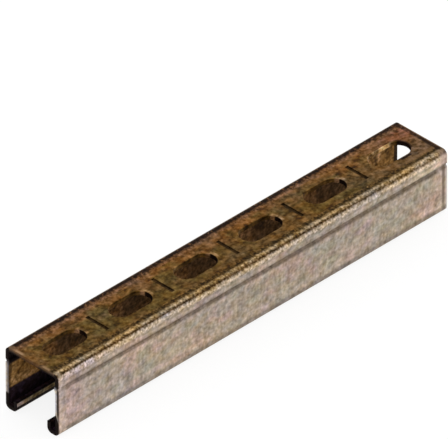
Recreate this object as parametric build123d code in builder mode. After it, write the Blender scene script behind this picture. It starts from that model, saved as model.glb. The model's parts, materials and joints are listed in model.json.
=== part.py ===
from build123d import *
import os

# Slotted strut channel: a short length of roll-formed C section, lying on its lips.
# It runs along Y, with the slotted web on top and the mouth between the lips facing the floor.
# The origin is at the bottom, in the middle of the length and of the width. Sizes are in mm.

# Section, across the length
channel_width = 41.3  # over the two walls
channel_height = 41.3  # from the lips to the top of the web
channel_length = 304.8
sheet = 2.7  # thickness of the strip
bend_radius = 0.8  # inside radius of every bend
lip_width = 9.0  # from a wall's outer face to the mouth
return_height = 7.1  # from the floor to the edge of the turned-up strip
strip_edge_radius = 0.4  # rounding along the strip's two rolled edges

# Bead rolled into each wall: a narrow groove outside, a soft swell inside
bead_drop = 9.6  # from the top of the web to the middle of the bead
bead_width = 2.4
bead_depth = 0.8

# Slots punched in the web
slot_length = 28.6
slot_width = 14.3
slot_pitch = 50.8
end_metal = 8.0  # least metal left between a slot and the cut end
slot_rim_radius = 0.4  # roll-over that the punch leaves on the upper rim

# Score marks pressed across the web, half way between slots
mark_length = 16.5
mark_width = 2.0
mark_depth = 0.5
mark_slope = 15  # degrees from upright, on all four flanks

# Sawn ends
end_break = 0.25

# What follows from the sizes above
outer_radius = bend_radius + sheet
mouth_width = channel_width - 2 * lip_width
return_middle = (mouth_width + sheet) / 2
bead_radius = (bead_width**2 / 4 + bead_depth**2) / (2 * bead_depth)
bead_middle = channel_width / 2 + bead_radius - bead_depth
bead_height = channel_height - bead_drop
slot_count = int((channel_length - slot_length - 2 * end_metal) // slot_pitch) + 1
section_middle = channel_height / 2


def nearest_to_middle(vertices):
    """The two corners that are nearest to the channel's plane of symmetry."""
    return vertices.sort_by(lambda corner: abs(corner.X))[:2]


with BuildPart() as strut_channel:
    # Section: a closed tube with round corners, opened at the mouth
    with BuildSketch(Plane.XZ) as section:
        with Locations((0, section_middle)):
            RectangleRounded(channel_width, channel_height, outer_radius)
            RectangleRounded(
                channel_width - 2 * sheet, channel_height - 2 * sheet, bend_radius, mode=Mode.SUBTRACT
            )
        with Locations((0, sheet / 2)):
            Rectangle(mouth_width, sheet, mode=Mode.SUBTRACT)
        # The strip's edges turn up on both sides of the mouth
        with Locations((-return_middle, return_height / 2), (return_middle, return_height / 2)):
            Rectangle(sheet, return_height)
        fillet(nearest_to_middle(section.vertices().group_by(Axis.Y)[0]), outer_radius)
        lip_floor = section.vertices().filter_by_position(Axis.Y, sheet, sheet)
        fillet(nearest_to_middle(lip_floor), bend_radius)
        strip_edges = section.vertices().filter_by_position(Axis.Y, return_height, return_height)
        fillet(strip_edges, strip_edge_radius)
        # The bead keeps the strip's thickness: the swell inside has the same centre as the groove
        bead_places = [(-bead_middle, bead_height), (bead_middle, bead_height)]
        with Locations(bead_places):
            Circle(bead_radius + sheet)
        with Locations((0, section_middle)):
            RectangleRounded(channel_width, channel_height, outer_radius, mode=Mode.INTERSECT)
        with Locations(bead_places):
            Circle(bead_radius, mode=Mode.SUBTRACT)
    extrude(amount=channel_length / 2, both=True)

    # Slots, in one row down the middle of the web
    with BuildSketch(Plane.XY.offset(channel_height)):
        with GridLocations(0, slot_pitch, 1, slot_count):
            SlotOverall(slot_length, slot_width, rotation=90)
    extrude(amount=-2 * sheet, mode=Mode.SUBTRACT)
    fillet(edges(Select.LAST).group_by(Axis.Z)[-1], slot_rim_radius)

    # Score marks
    with BuildSketch(Plane.XY.offset(channel_height)):
        with GridLocations(0, slot_pitch, 1, slot_count - 1):
            Rectangle(mark_length, mark_width)
    extrude(amount=-mark_depth, taper=mark_slope, mode=Mode.SUBTRACT)

    # Burrs taken off both sawn ends
    sawn_edges = edges().group_by(Axis.Y)
    chamfer(sawn_edges[0] + sawn_edges[-1], end_break)

strut_channel.part.label = "strut_channel"

os.makedirs("parts", exist_ok=True)
export_step(strut_channel.part, "parts/strut_channel.step")
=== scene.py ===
import json
from math import cos, radians, sin

import bpy
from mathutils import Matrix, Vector


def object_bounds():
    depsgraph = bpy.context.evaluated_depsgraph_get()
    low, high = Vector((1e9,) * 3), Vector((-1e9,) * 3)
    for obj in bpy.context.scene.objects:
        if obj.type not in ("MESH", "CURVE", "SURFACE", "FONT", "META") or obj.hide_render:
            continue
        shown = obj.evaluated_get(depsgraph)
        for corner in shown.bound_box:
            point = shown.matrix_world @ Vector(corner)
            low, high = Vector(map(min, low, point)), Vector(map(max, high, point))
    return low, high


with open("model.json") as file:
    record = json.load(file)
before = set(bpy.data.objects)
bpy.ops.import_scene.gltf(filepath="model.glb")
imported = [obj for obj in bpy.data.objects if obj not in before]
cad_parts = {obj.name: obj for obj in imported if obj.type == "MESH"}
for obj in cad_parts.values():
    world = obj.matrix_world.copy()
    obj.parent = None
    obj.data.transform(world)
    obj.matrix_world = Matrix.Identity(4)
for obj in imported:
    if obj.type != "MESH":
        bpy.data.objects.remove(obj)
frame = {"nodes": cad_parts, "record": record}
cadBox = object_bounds()
low, high = cadBox
channel = frame["nodes"]["strut_channel"]
scene = bpy.context.scene

mm = 1000.0  # the frame is in metres, and the finish is laid out in millimetres
halfWidth = high.x * mm
halfLength = high.y * mm
height = high.z * mm

slotDims = next(mount["dims"] for mount in frame["record"]["mounts"] if mount["name"] == "slots_middle")
pitch = slotDims["spacing_y_mm"]
slotHalf = slotDims["hole_r_mm"]
slotStraight = slotDims["slot_length_mm"] / 2 - slotHalf  # from a slot's middle to its round end's start


class Wire:
    # One output of a node. Python's operators on it add Math nodes.
    def __init__(self, paint, socket):
        self.paint = paint
        self.socket = socket

    def math(self, operation, *others):
        return self.paint.node("ShaderNodeMath", {"operation": operation}, dict(enumerate((self, *others))))

    def __add__(self, other):
        return self.math("ADD", other)

    def __radd__(self, other):
        return self.math("ADD", other)

    def __sub__(self, other):
        return self.math("SUBTRACT", other)

    def __rsub__(self, other):
        return self.math("MULTIPLY_ADD", -1.0, other)

    def __mul__(self, other):
        return self.math("MULTIPLY", other)

    def __rmul__(self, other):
        return self.math("MULTIPLY", other)

    def __truediv__(self, other):
        return self.math("DIVIDE", other)

    def __pow__(self, other):
        return self.math("POWER", other)

    def __abs__(self):
        return self.math("ABSOLUTE")

    def least(self, other):
        return self.math("MINIMUM", other)

    def most(self, other):
        return self.math("MAXIMUM", other)


class Paint:
    # The node tree of one material, or of the world
    def __init__(self, owner):
        owner.use_nodes = True
        self.owner = owner
        self.tree = owner.node_tree
        self.tree.nodes.clear()

    def node(self, kind, settings=None, inputs=None, output=0):
        made = self.tree.nodes.new(kind)
        for name, value in (settings or {}).items():
            if name == "stops":
                ramp = made.color_ramp
                while len(ramp.elements) < len(value):
                    ramp.elements.new(1.0)
                for element, (place, colour) in zip(ramp.elements, value):
                    element.position = place
                    element.color = colour
            else:
                setattr(made, name, value)
        for name, value in (inputs or {}).items():
            if isinstance(value, Wire):
                self.tree.links.new(value.socket, made.inputs[name])
            else:
                made.inputs[name].default_value = value
        return Wire(self, made.outputs[output]) if made.outputs else None

    def rise(self, value, start, end):
        # 0 up to start, 1 from end on, and smooth between; start may be the larger
        return self.node("ShaderNodeMapRange", {"interpolation_type": "SMOOTHSTEP"},
                         {"Value": value, "From Min": start, "From Max": end})

    def band(self, value, middle, halfSpan, soft):
        # 1 within halfSpan of middle, and 0 from soft further out
        return self.rise(abs(value - middle), halfSpan + soft, halfSpan)

    def mix(self, factor, first, second, blend="MIX"):
        return self.node("ShaderNodeMix", {"data_type": "RGBA", "blend_type": blend},
                         {0: factor, 6: first, 7: second}, output=2)

    def vary(self, colour, change, hue, paling):
        # Lighter where change is above 0, and paler with it by paling; warmer where hue is above 0
        slants = ((1.0, 0.45), (1 + (paling - 1) * 0.2, -0.1), (paling, -1.5))  # of red, green and blue
        red, green, blue = ((1 + (change * gain + hue * slant) / 2).most(0.5) ** 2 for gain, slant in slants)
        gains = self.node("ShaderNodeCombineXYZ", inputs={0: red, 1: green, 2: blue})
        return self.mix(1.0, colour, gains, "MULTIPLY")

    def ramp(self, value, start, end, stops):
        # A row of colours, each at its own place between start and end
        share = self.node("ShaderNodeMapRange", None, {"Value": value, "From Min": start, "From Max": end})
        placed = [((place - start) / (end - start), colour) for place, colour in stops]
        return self.node("ShaderNodeValToRGB", {"stops": placed}, {0: share})

    def clouds(self, point, size, stretch, shift, detail=3.0):
        # Soft noise about a middle of 0, mostly within 0.25 of it; size is in mm
        scale = tuple(1 / (size * part) for part in stretch)
        spot = self.node("ShaderNodeVectorMath", {"operation": "MULTIPLY_ADD"},
                         {0: point, 1: scale, 2: (shift, shift * 0.7, shift * 1.3)})
        return self.node("ShaderNodeTexNoise", None, {"Vector": spot, "Scale": 1.0, "Detail": detail}) - 0.5


def tone(red, green, blue):
    # A colour as a screen gives it, 0 to 255, in Blender's linear values
    def linear(level):
        level /= 255
        return level / 12.92 if level <= 0.04045 else ((level + 0.055) / 1.055) ** 2.4
    return (linear(red), linear(green), linear(blue), 1.0)


cameraLook = {
    "azimuth": 44.82,
    "elevation": 35.13,
    "lens": 1600.0,  # mm; so long that the view is almost a parallel one
    "frameWidth": 0.2475,  # metres across the picture at the channel's middle
    "asideRight": -0.0021,  # metres from the channel's middle to the picture's
    "asideUp": 0.0322,
}


def makeCamera(look):
    azimuth, elevation = radians(look["azimuth"]), radians(look["elevation"])
    back = Vector((sin(azimuth) * cos(elevation), -cos(azimuth) * cos(elevation), sin(elevation)))
    data = bpy.data.cameras.new("camera")
    data.lens = look["lens"]
    distance = look["frameWidth"] * data.lens / data.sensor_width
    data.clip_start, data.clip_end = distance * 0.5, distance * 2
    camera = bpy.data.objects.new("camera", data)
    scene.collection.objects.link(camera)
    camera.rotation_mode = "QUATERNION"
    camera.rotation_quaternion = (-back).to_track_quat("-Z", "Y")
    right = camera.rotation_quaternion @ Vector((1, 0, 0))
    up = camera.rotation_quaternion @ Vector((0, 1, 0))
    middle = (low + high) / 2
    camera.location = middle + right * look["asideRight"] + up * look["asideUp"] + back * distance
    scene.camera = camera


makeCamera(cameraLook)
print("camera placed")

stageLook = {
    "floorSize": 30.0,  # metres, as are the lamp's size and place
    "glowShare": 0.8,  # the part of the floor's white that no shadow takes away
    "glow": 1.06,
    "cloth": 0.9,  # the floor's grey level, where light falls on it
    "skyLevel": 0.95,
    "lampPower": 6.0,
    "lampSize": 1.5,
    "lampPlace": (2.2, -1.4, 2.6),
}


def seenRays(paint):
    # 1 for the rays that show a thing to the camera: straight, in a mirror or through glass
    kinds = ("Is Camera Ray", "Is Glossy Ray", "Is Transmission Ray")
    camera, glossy, through = (paint.node("ShaderNodeLightPath", output=kind) for kind in kinds)
    return camera.most(glossy).most(through)


def makeFloor(look):
    half = look["floorSize"] / 2
    mesh = bpy.data.meshes.new("floor")
    corners = [(-half, -half, low.z), (half, -half, low.z), (half, half, low.z), (-half, half, low.z)]
    mesh.from_pydata(corners, [], [(0, 1, 2, 3)])
    floor = bpy.data.objects.new("floor", mesh)
    scene.collection.objects.link(floor)
    paint = Paint(bpy.data.materials.new("floorCloth"))
    level = look["cloth"]
    cloth = paint.node("ShaderNodeBsdfDiffuse", inputs={"Color": (level, level, level, 1)})
    glow = paint.node("ShaderNodeEmission", inputs={"Strength": look["glow"]})
    seen = seenRays(paint) * look["glowShare"]
    shown = paint.node("ShaderNodeMixShader", inputs={0: seen, 1: cloth, 2: glow})
    paint.node("ShaderNodeOutputMaterial", inputs={"Surface": shown})
    mesh.materials.append(paint.owner)


def makeSky(look):
    paint = Paint(bpy.data.worlds.new("sky"))
    light = paint.node("ShaderNodeBackground", inputs={"Color": (1, 1, 1, 1), "Strength": look["skyLevel"]})
    white = paint.node("ShaderNodeBackground", inputs={"Color": (1, 1, 1, 1), "Strength": 1.0})
    both = paint.node("ShaderNodeMixShader", inputs={0: seenRays(paint), 1: light, 2: white})
    paint.node("ShaderNodeOutputWorld", inputs={"Surface": both})
    scene.world = paint.owner


def makeLamp(look):
    data = bpy.data.lights.new("lampFront", "AREA")
    data.size = look["lampSize"]
    data.energy = look["lampPower"]
    lamp = bpy.data.objects.new("lampFront", data)
    scene.collection.objects.link(lamp)
    lamp.location = look["lampPlace"]
    lamp.rotation_mode = "QUATERNION"
    lamp.rotation_quaternion = (-lamp.location).to_track_quat("-Z", "Y")


makeFloor(stageLook)
makeSky(stageLook)
makeLamp(stageLook)
print("stage lit")

channelLook = {
    "sheet": 2.7,  # mm, as are the sizes below
    "bend": 3.5,  # outer radius of the bends
    "bendStart": -4.4,  # where an upper bend's lines begin, on the web, which ends at 0
    "bendEnd": 7.0,  # and where they end, on the wall
    "beadDrop": 9.6,  # from the web's face down to the bead's middle
    "lip": 9.0,  # width of a lip
    "returnHeight": 8.0,  # of the strip's edges, which turn up inside the mouth
    "markLong": 8.25,  # half of a mark's length
    "markWide": 1.0,  # half of its width
    "markDeep": 0.7,
    "metalInside": 0.55,
    "metalOutside": 0.85,
    "rough": 0.5,
    "roughInside": 0.65,
    "shine": 0.1,
    "shineTint": (0.85, 0.76, 0.68, 1.0),
    "bumpShare": 0.6,
    "bumpDepth": 0.0002,  # metres
    # The web's tones are the zinc's yellow tint, painted darker and browner than the walls' as shade and a
    # dark reflection on the upward face
    "webBrown": tone(103, 75, 38),
    "webOlive": tone(92, 71, 31),
    "webRust": tone(121, 82, 43),
    "webPlum": tone(117, 83, 54),
    "webDusk": tone(113, 83, 58),
    "webCorner": tone(132, 79, 49),
    "webSide": tone(134, 102, 68),
    "webEdgeLight": tone(170, 136, 102),
    "wallBeige": tone(175, 160, 143),
    "wallPink": tone(190, 159, 152),
    "wallGreen": tone(164, 162, 142),
    "wallPale": tone(198, 178, 163),
    "wallBlush": tone(210, 184, 172),
    "wallFoot": tone(142, 130, 119),
    "wallDark": tone(110, 94, 80),
    "beadShade": tone(112, 96, 80),
    "bendDark": tone(32, 17, 11),
    "bendLine": tone(68, 50, 22),
    "bendGold": tone(166, 142, 106),
    "bendTrace": tone(84, 64, 40),
    "bendBright": tone(200, 181, 158),
    "bendEdge": tone(138, 110, 84),
    "bendLilac": tone(208, 184, 178),
    "bendGrey": tone(140, 120, 110),
    "inside": tone(140, 103, 54),
    "insideGold": tone(184, 142, 92),
    "insideDeep": tone(109, 79, 47),
    "insideLitBand": tone(144, 104, 61),
    "insideShadow": tone(44, 31, 36),
    # Black painted shade, for hollows, shaded corners and dark lines beside edges
    "shadeBlack": tone(16, 9, 10),
    "returnNear": tone(140, 118, 98),
    "returnDeep": tone(112, 98, 72),
    "mark": tone(54, 38, 18),
    "slotWall": tone(97, 70, 32),
    "slotPale": tone(140, 104, 74),
    "slotGold": tone(222, 184, 132),
    "slotEnd": tone(26, 14, 9),
    "slotRim": tone(148, 115, 74),
    "sawnPale": tone(210, 202, 196),
    "sawnGrey": tone(126, 114, 105),
    "sawnDark": tone(28, 19, 13),
    "sawnTan": tone(124, 96, 70),
    "sawnBrown": tone(100, 70, 42),
    "sawnFoot": tone(74, 50, 27),
}


class Spot:
    # Where a point of the channel lies, in mm, and the mottling there. z is its height, drop its depth
    # under the web's face, and fromNear and fromFar are how far it is from the two ends.
    def __init__(self, paint, look):
        coords = paint.node("ShaderNodeTexCoord", output="Object")
        point = paint.node("ShaderNodeVectorMath", {"operation": "SCALE"}, {0: coords, "Scale": mm})
        split = paint.node("ShaderNodeSeparateXYZ", inputs={0: point}).socket.node
        self.x, self.y, self.z = (Wire(paint, split.outputs[axis]) for axis in range(3))
        self.aside = abs(self.x)
        self.drop = height - self.z
        self.fromNear = self.y + halfLength
        self.fromFar = halfLength - self.y
        self.fromEnd = self.fromNear.least(self.fromFar)
        self.onRight = self.x.math("GREATER_THAN", 0.0)
        bend = look["bend"]

        # Depth under the outer skin of the section, which is a rounded square
        over = self.aside - (halfWidth - bend)
        beyond = abs(self.z - height / 2) - (height / 2 - bend)
        reach = (over.most(0.0) ** 2 + beyond.most(0.0) ** 2).math("SQRT")
        depth = bend - (reach + over.most(beyond).least(0.0))
        self.outer = paint.rise(depth, look["sheet"] / 2 + 0.25, look["sheet"] / 2 - 0.15)

        # Way round the upper bend: below 0 on the web, above 5.5 on the wall
        up = self.z - (height - bend)
        self.way = over.least(0.0) + over.most(0.0).math("ARCTAN2", up.most(0.0)) * bend - up.least(0.0)

        # Places within a pitch: from the slot's middle, from its rim, and from the nearest mark
        self.cell = (self.fromNear / pitch).math("FRACT") * pitch - pitch / 2
        past = (abs(self.cell) - slotStraight).most(0.0)
        self.slotEdge = (past ** 2 + self.x ** 2).math("SQRT") - slotHalf
        self.markCell = (self.fromNear / pitch + 0.5).math("FRACT") * pitch - pitch / 2
        self.lastSlot = self.fromFar.math("LESS_THAN", pitch)

        # Mottling, from wide clouds to grain, with streaks along the channel and up its walls
        self.broad = paint.clouds(point, 34, (1, 1.6, 1), 3.1, 2.0)
        self.tint = paint.clouds(point, 8, (1, 1.6, 1), 11.2)
        self.hue = paint.clouds(point, 4.5, (1, 1.3, 1), 17.4, 2.0)
        self.hueBroad = paint.clouds(point, 20, (1, 1.6, 1), 23.8, 1.0)
        self.patch = paint.clouds(point, 4.6, (1, 1.2, 1), 7.7, 2.0)
        self.fine = paint.clouds(point, 1.9, (1, 1.1, 1), 1.3, 1.0)
        self.rolled = paint.clouds(point, 1.6, (1, 6, 1), 5.9, 2.0)
        self.grain = paint.clouds(point, 1.3, (1, 1, 1), 13.7, 1.0)
        self.upright = paint.clouds(point, 1.8, (1, 1, 6), 9.4, 2.0)
        self.speckle = self.patch * 3.4 + self.fine * 2.6
        # Painted light: the last stretch is lit the lightest, on the web, the bend and the upper wall
        self.farGlow = paint.band(self.fromFar, 16.0, 8.0, 7.0) * 0.24  # the last stretch is the lightest


def webColour(paint, at, look):
    rise, band, mix = paint.rise, paint.band, paint.mix
    # The web is painted darker and browner than the walls, as painted shade and reflection on the upward
    # face
    colour = mix(rise(at.tint + at.broad, -0.12, 0.16), look["webBrown"], look["webOlive"])
    # Redder towards the left and by the near end, and duskier towards the far end
    colour = mix(rise(at.x + at.tint * 30, -3.0, -11.0) * 0.7, colour, look["webRust"])
    colour = mix(rise(at.fromNear, 9.0, 3.0) * band(at.x, 0.0, 6.0, 4.0) * 0.5, colour, look["webRust"])
    colour = mix(rise(at.x + at.tint * 20, -10.5, -14.5) * 0.8, colour, look["webPlum"])
    colour = mix(rise(at.fromFar, 60.0, 8.0) * 0.6, colour, look["webDusk"])
    colour = mix(rise(at.fromFar, 34.0, 6.0) * rise(at.x, 2.0, -9.0) * 0.7, colour, look["webCorner"])
    # A painted highlight pales the slots' far rims, but not the last one's
    rim = band(at.slotEdge, 1.3, 0.5, 0.9) * rise(at.cell, 9.0, 13.0) * band(at.x, -1.0, 3.2, 1.8)
    colour = mix(rim * (1 - at.lastSlot) * 0.7, colour, look["slotRim"])
    change = at.speckle * 0.9 + at.rolled * 0.9 + at.broad * 0.3
    colour = paint.vary(colour, change, at.hue + at.hueBroad, 1.7)
    # A painted highlight along the near edge, strongest at its sides, and a painted shade line behind it
    atSide = 0.05 + rise(at.aside, 6.0, 9.0) * (0.85 - at.onRight * 0.3)
    colour = mix(rise(at.fromNear, 2.5, 1.1) * atSide, colour, look["webEdgeLight"])
    colour = mix(band(at.fromNear, 3.6, 0.4, 1.2) * (0.15 + at.onRight * 0.15), colour, look["bendDark"])
    # Painted shade round the last slot: round its far end, and in one spot on its right
    farRim = rise(at.slotEdge, 1.7, 0.7) * rise(at.cell, 4.0, 7.0) * band(at.x, -1.2, 5.2, 1.5)
    colour = mix(farRim * at.lastSlot * 0.8, colour, look["bendDark"])
    spot = band(at.slotEdge, 1.5, 0.6, 0.7) * rise(at.x, 4.0, 7.0) * band(at.fromFar, 20.5, 3.0, 2.5)
    return mix(spot * 0.95, colour, look["shadeBlack"])


def wallColour(paint, at, look):
    rise, band, mix = paint.rise, paint.band, paint.mix
    bead = look["beadDrop"]
    aboveBead = rise(at.drop, 8.0, 7.0)
    belowBead = rise(at.drop, 8.0, 11.0)
    # Pink and green patches, and more pink by the near end and low down by the far one
    pinkness = at.tint + at.hueBroad * 0.5
    colour = mix(rise(pinkness, 0.0, 0.18) * 0.5, look["wallBeige"], look["wallPink"])
    colour = mix(rise(pinkness, 0.0, -0.18) * 0.5, colour, look["wallGreen"])
    colour = mix(rise(at.fromNear, 34.0, 8.0) * 0.6, colour, look["wallPink"])
    farPink = band(at.fromFar, 14.0, 3.0, 8.0) * rise(at.z, 22.0, 8.0)
    colour = mix(farPink * 0.6, colour, look["wallPink"])
    # Pale lines on both sides of the bead and over the foot, and a faint darker one under the bend
    beside = band(at.drop, bead - 3.0, 0.3, 0.8).most(band(at.drop, bead + 3.5, 0.5, 1.2)) * 0.35
    colour = mix(beside.most(band(at.z, 8.0, 0.9, 1.9) * 0.3), colour, look["wallPale"])
    colour = mix(rise(at.fromFar, 15.0, 8.0) * aboveBead * 0.8, colour, look["wallBlush"])
    colour = mix(band(at.drop, 4.8, 0.3, 0.9) * 0.15, colour, look["wallDark"])
    # Painted shade darkens the bead's groove, and lies lower in it towards the far end
    shadeMiddle = bead - 0.1 + rise(at.fromNear, 60.0, 250.0)
    colour = mix(band(at.drop, shadeMiddle, 0.2, 2.6) * 0.85, colour, look["beadShade"])
    # Painted shade darkens the foot, where the wall turns under
    colour = mix(rise(at.z, 6.0, 3.8), colour, look["wallFoot"])
    # Pale beside both ends
    pale = band(at.fromNear, 2.1, 0.4, 1.1).most(band(at.fromNear, 3.7, 1.8, 1.6) * 0.6)
    colour = mix(pale.most(band(at.fromFar, 6.5, 1.3, 2.3) * 0.35), colour, look["wallPale"])
    broad = at.broad * (0.15 + rise(at.drop, 9.0, 6.0) * 0.35)
    glow = at.farGlow * rise(at.drop, 9.0, 8.0) * 0.8
    change = at.speckle * 0.4 + at.upright * 0.55 + broad + glow
    colour = paint.vary(colour, change, at.hue * 0.4 + at.broad * 0.3 + glow * 0.4, 1.15)
    colour = mix(rise(at.fromFar, 9.0, 5.0) * aboveBead * 0.4, colour, look["wallBlush"])
    # The far edge is pale, with a darker line beside it, and painted shade darkens the very near edge
    colour = mix(rise(at.fromFar, 1.9, 0.9) * belowBead * 0.45, colour, look["sawnPale"])
    line = band(at.fromFar - belowBead * 1.6, 1.5, 0.4, 1.0 + belowBead * 0.3) * (0.35 + belowBead * 0.38)
    line = line * rise(at.z, 4.5, 8.0)
    return mix(line.most(rise(at.fromNear, 0.9, 0.2) * 0.8), colour, look["wallDark"])


def bendColour(paint, at, look):
    rise, band, mix = paint.rise, paint.band, paint.mix
    start, end = look["bendStart"], look["bendEnd"]
    onLeft = 1 - at.onRight
    # Its lines lie a little lower towards the far end
    lower = rise(at.fromFar, 40.0, 20.0) * rise(at.way, -1.0, 2.0) * 0.45
    # The right bend's lines are painted reflection and highlight: a dark line, a gold highlight, a dark
    # trace, then a bright highlight strip
    right = paint.ramp(at.way - lower - rise(at.fromFar, 110.0, 60.0) * 0.25, start, end, (
        (start, look["webBrown"]), (-2.7, look["bendLine"]), (-1.4, look["bendLine"]),
        (0.45, look["bendGold"]), (0.8, look["bendGold"]),
        (2.1, look["bendTrace"]), (2.6, look["bendTrace"]),
        (4.1, look["bendBright"]), (4.7, look["bendBright"]), (6.3, look["wallBeige"])))
    right = mix(band(at.way, 2.5, 0.6, 0.8) * rise(at.fromFar, 120.0, 10.0) * 0.2, right, look["bendGold"])
    # A lilac tint in the bright painted highlight by the near end
    lilac = rise(at.fromNear, 56.0, 10.0) * rise(at.way, 2.9, 4.0) * 0.6
    right = mix(lilac, right, look["bendLilac"])
    # The left bend's dark line is painted shade, where it turns from the light
    left = paint.ramp(at.way - rise(at.fromFar, 40.0, 20.0) * 0.5, start, end, (
        (start, look["webPlum"]), (-2.9, look["webPlum"]), (-0.9, look["bendDark"]), (1.2, look["bendDark"]),
        (2.3, look["bendEdge"]), (4.4, look["bendBright"]), (end, look["wallBeige"])))
    colour = mix(at.onRight, left, right)
    # The dark lines are the most broken ones, and the bright stretch is the evenest
    onLine = rise(at.way, -0.9, -2.0).most(band(at.way, 2.3, 0.6, 0.8) * 0.4) * at.onRight
    pale = rise(at.way, 2.5, 4.3)
    weight = 1 + onLine * 0.8 - pale * 0.3
    glow = at.farGlow * rise(at.way, -0.5, 0.5)
    change = (at.patch + at.fine * 1.8 + at.grain * 3) * weight + at.broad * 0.5 + glow
    hue = (at.hue + at.hueBroad) * (0.9 - pale * 0.4) + glow * pale * 0.4
    colour = paint.vary(colour, change, hue, 1.35 - 0.15 * pale)
    # Black painted shade and plum break up the painted dark line on the left
    onRim = rise(at.way, -2.4, -1.4) * rise(at.way, 3.0, 1.5) * onLeft
    broken = at.fine * 1.5 + at.patch * 0.5
    colour = mix(onRim * rise(broken, -0.05, -0.25) * 0.8, colour, look["shadeBlack"])
    colour = mix(onRim * rise(broken, 0.12, 0.35) * 0.9, colour, look["webPlum"])
    # Greyer at the far end, and painted highlights beside the near one, with a painted shade line at its
    # very edge
    farGrey = rise(at.fromFar, 7.0, 3.5) * rise(at.way, -0.8, 0.6) * at.onRight * 0.6
    colour = mix(farGrey, colour, mix(pale, look["bendGrey"], look["wallBlush"]))
    nearPale = band(at.fromNear, 2.0, 0.5, 1.0) * (at.onRight * rise(at.way, -0.5, 0.5) * 0.4)
    colour = mix(nearPale, colour, look["bendBright"])
    nearRim = rise(at.fromNear, 1.2, 0.3) * rise(at.way, 0.0, 1.0) * 0.5
    colour = mix(nearRim * at.onRight, colour, look["bendTrace"])
    return mix(rise(at.fromNear, 4.0, 1.5) * onLeft * 0.35, colour, look["webEdgeLight"])


def insideColour(paint, at, look):
    # Painted light and shade inside: lit golden by the open ends, shaded browner further in, painted shadow
    # low down, and black painted shade right at the ends and under the web by the near end
    rise, band, mix = paint.rise, paint.band, paint.mix
    lit = rise(at.fromEnd, 36.0, 22.0) * band(at.z, 22.0, 7.5, 1.6)
    # Painted light through the slots lightens a band of the inner walls in each pitch
    colour = mix(band(at.cell, 3.0, 7.0, 3.0), look["insideDeep"], look["insideLitBand"])
    colour = mix(lit, colour, look["inside"])
    # A painted gold light high up by the last slot
    colour = mix(band(at.fromFar, 20.0, 4.0, 4.0) * rise(at.z, 20.0, 25.0), colour, look["insideGold"])
    glint = band(at.z, 17.0, 1.0, 2.5) * rise(at.fromNear, 26.0, 14.0)
    colour = mix(glint * 0.7, colour, look["insideGold"])
    colour = mix(rise(at.z, 14.8, 13.2) * rise(at.fromEnd, 80.0, 40.0), colour, look["insideShadow"])
    colour = paint.vary(colour, at.speckle, at.hue * 0.6, 1.5)
    shaded = rise(at.z, 29.6, 31.4) * rise(at.fromNear, 14.0, 9.0)
    shaded = shaded.most(rise(at.fromNear - rise(at.z, 18.0, 27.0) * 1.2, 2.0, 0.8) * 0.6)
    return mix(shaded.most(rise(at.fromFar, 3.7, 2.4) * 0.9), colour, look["shadeBlack"])


def returnColour(paint, at, look):
    # The strip's edges, which turn up inside the mouth: a pale painted lit band half way up, paler by the
    # ends, and black painted shade over and under that
    rise, mix = paint.rise, paint.mix
    pale = mix(rise(at.fromEnd, 4.0, 11.0), look["returnNear"], look["returnDeep"])
    colour = mix(rise(at.z, 3.8, 4.5) * rise(at.z, 6.7, 6.2), look["shadeBlack"], pale)
    return paint.vary(colour, at.speckle, at.hue, 1.3)


def cutColour(paint, at, look):
    # The walls of the slots: painted gold highlights in parts, lighter towards each slot's near end, a
    # painted pale highlight on the far end and black painted shade beside it
    rise, band, mix = paint.rise, paint.band, paint.mix
    bright = band(at.fromFar, 22.0, 3.0, 3.0).most(band(at.fromFar, 28.0, 8.0, 2.0) * 0.5)
    colour = mix(bright * rise(at.x, -4.0, -6.0), look["slotWall"], look["slotGold"])
    farRound = rise(at.cell, 8.0, 10.5)
    colour = mix(farRound * band(at.x, -3.5, 0.8, 0.8) * 0.7, colour, look["slotPale"])
    colour = mix(rise(at.cell, -4.0, -8.0) * 0.5, colour, look["inside"])
    colour = paint.vary(colour, at.speckle, at.hue, 1.3)
    return mix(farRound * rise(at.x + at.lastSlot * 3, -2.9, -1.9), colour, look["slotEnd"])


def sawnColour(paint, at, look):
    # The cut ends, painted with light and shade: each wall is pale on its left side and dark on its right,
    # with black painted shade at its corners, and the web's end pale tan at its top and darker below
    rise, mix = paint.rise, paint.mix
    sheet, bend = look["sheet"], look["bend"]
    across = (at.x + halfWidth - at.onRight * (2 * halfWidth - sheet)) / sheet
    dark = rise(across, 0.75 - at.onRight * 0.22, 1.15 - at.onRight * 0.4)
    dark = dark * (1 - at.onRight * rise(at.z, 16.0, 12.0))
    colour = mix(rise(across, 0.0, 0.75), look["sawnPale"], look["sawnGrey"])
    colour = mix(dark, colour, look["sawnDark"])
    level = at.z + (across * 6.5 - 5.0) * at.onRight
    outermost = rise(across, 0.25, 0.05) * (0.6 - at.onRight * 0.6)
    shaded = rise(level, 11.5, 10.0).most(rise(at.z, 29.5, 33.5)) * (1 - outermost)
    colour = mix(shaded, colour, look["shadeBlack"])
    middle = paint.band(at.x, -2.0, 5.0, 3.5)
    top = mix(middle, look["sawnTan"], look["sawnBrown"])
    foot = mix(middle, look["shadeBlack"], look["sawnFoot"])
    strip = mix(rise(at.drop + (1 - middle) * 0.3, -0.8, sheet), top, foot)
    onWeb = rise(at.aside, halfWidth - bend + 1.0, halfWidth - bend) * rise(at.drop, sheet + 0.4, sheet)
    return paint.vary(mix(onWeb, colour, strip), at.fine, at.hue, 1.2)


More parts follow.
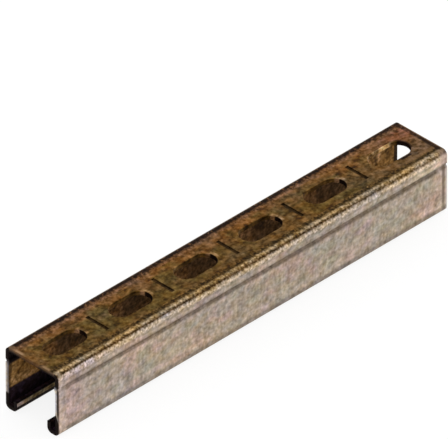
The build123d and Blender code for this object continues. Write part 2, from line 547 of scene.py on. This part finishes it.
def skinColour(paint, at, look):
    # The outer faces, with a painted shade line along the far edge and a thin painted highlight rim outside
    # it
    rise, band, mix = paint.rise, paint.band, paint.mix
    start, end = look["bendStart"], look["bendEnd"]
    colour = mix(rise(at.way, 1.0, 4.0), webColour(paint, at, look), wallColour(paint, at, look))
    onBend = rise(at.way, start, start + 1.0) * rise(at.way, end, end - 1.2)
    colour = mix(onBend, colour, bendColour(paint, at, look))
    colour = mix(band(at.x, 13.1, 0.9, 0.9) * rise(at.fromFar, 34.0, 18.0) * 0.5, colour, look["webSide"])
    onWeb = rise(at.way, 0.0, -1.5)
    inward = onWeb * 1.1 + band(at.x, 16.0, 1.0, 1.5) * 0.8
    line = rise(at.fromFar - inward, 2.9, 1.7) * (rise(at.way, 5.5, 2.5) * 0.5 + onWeb * 0.42)
    broken = 1 - rise(at.fine + at.patch * 0.5, 0.0, 0.25) * 0.4
    colour = mix(line * broken, colour, look["bendDark"])
    return mix(rise(at.fromFar, 1.3, 0.5) * onWeb * 0.5, colour, look["webEdgeLight"])


def channelFinish(look):
    paint = Paint(bpy.data.materials.new("yellowZinc"))
    rise, mix = paint.rise, paint.mix
    at = Spot(paint, look)
    colour = mix(at.outer, insideColour(paint, at, look), skinColour(paint, at, look))

    mouthHalf = halfWidth - look["lip"]
    onReturn = rise(at.aside, mouthHalf + 1.0, mouthHalf + 0.4)
    onReturn = onReturn * rise(at.z, look["returnHeight"] + 1.0, look["returnHeight"])
    colour = mix(onReturn, colour, returnColour(paint, at, look))
    cut = rise(at.slotEdge, 0.4, 0.15) * rise(at.drop, look["sheet"] + 0.4, look["sheet"] + 0.1)
    colour = mix(cut, colour, cutColour(paint, at, look))
    # The marks lie between the slots, so none is near an end
    mark = paint.band(at.markCell, 0.0, look["markWide"] - 0.2, 0.8)
    mark = mark * rise(at.aside, look["markLong"] + 0.4, look["markLong"] - 0.2)
    mark = mark * rise(at.drop, look["markDeep"] + 0.2, look["markDeep"]) * rise(at.fromEnd, 10.0, 12.0)
    colour = mix(mark, colour, paint.vary(look["mark"], at.speckle, at.hue, 1.3))
    colour = mix(rise(at.fromEnd, 0.3, 0.1), colour, sawnColour(paint, at, look))

    relief = at.fine + at.rolled * 0.6 + at.upright * 0.6 + at.patch
    bump = paint.node("ShaderNodeBump", inputs={
        "Strength": look["bumpShare"],
        "Distance": look["bumpDepth"],
        "Height": relief})
    metal, rough = look["metalInside"], look["rough"]
    surface = paint.node("ShaderNodeBsdfPrincipled", inputs={
        "Base Color": colour,
        "Metallic": at.outer * (1 - onReturn) * (look["metalOutside"] - metal) + metal,
        "Roughness": rough + at.patch * 0.3 + (1 - at.outer) * (look["roughInside"] - rough),
        "Specular IOR Level": look["shine"],
        "Specular Tint": look["shineTint"],
        "Normal": bump})
    paint.node("ShaderNodeOutputMaterial", inputs={"Surface": surface})
    return paint.owner


channel.material_slots[0].material = channelFinish(channelLook)
print("channel finished")

scene.view_settings.view_transform = "Standard"
